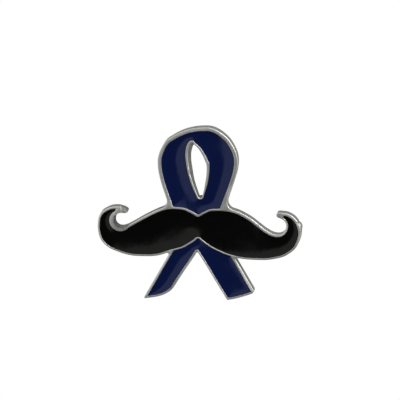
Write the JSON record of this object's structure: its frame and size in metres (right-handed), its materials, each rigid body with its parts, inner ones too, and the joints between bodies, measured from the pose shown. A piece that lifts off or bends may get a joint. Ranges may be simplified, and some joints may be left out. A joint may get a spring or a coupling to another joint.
{
  "type": "pin badge",
  "caption": "Die-cast pin badge with colour-filled fields: a handlebar moustache over a looped ribbon with two tails, on a post with a round clutch.",
  "frame": {"origin": "middle of the clutch's flat foot, on the post's axis, where the badge rests", "axes": "+X to the right across the face, along the moustache; +Y up the face, from the ribbon's tails to its loop; +Z out of the face, away from the clutch"},
  "size_m": [0.0257, 0.0222, 0.0072],
  "materials": {
    "plated_casting": "nickel-plated zinc casting, bright rims",
    "black_enamel": "glossy soft enamel, dished below the rims",
    "blue_enamel": "glossy soft enamel, dished below the rims",
    "plated_clutch": "nickel-plated brass, turned"
  },
  "bodies": {
    "root": {"badge_body": "plated_casting", "enamel_moustache": "black_enamel", "enamel_loop": "blue_enamel", "enamel_tails": "blue_enamel", "clutch": "plated_clutch"}
  },
  "joints": []
}
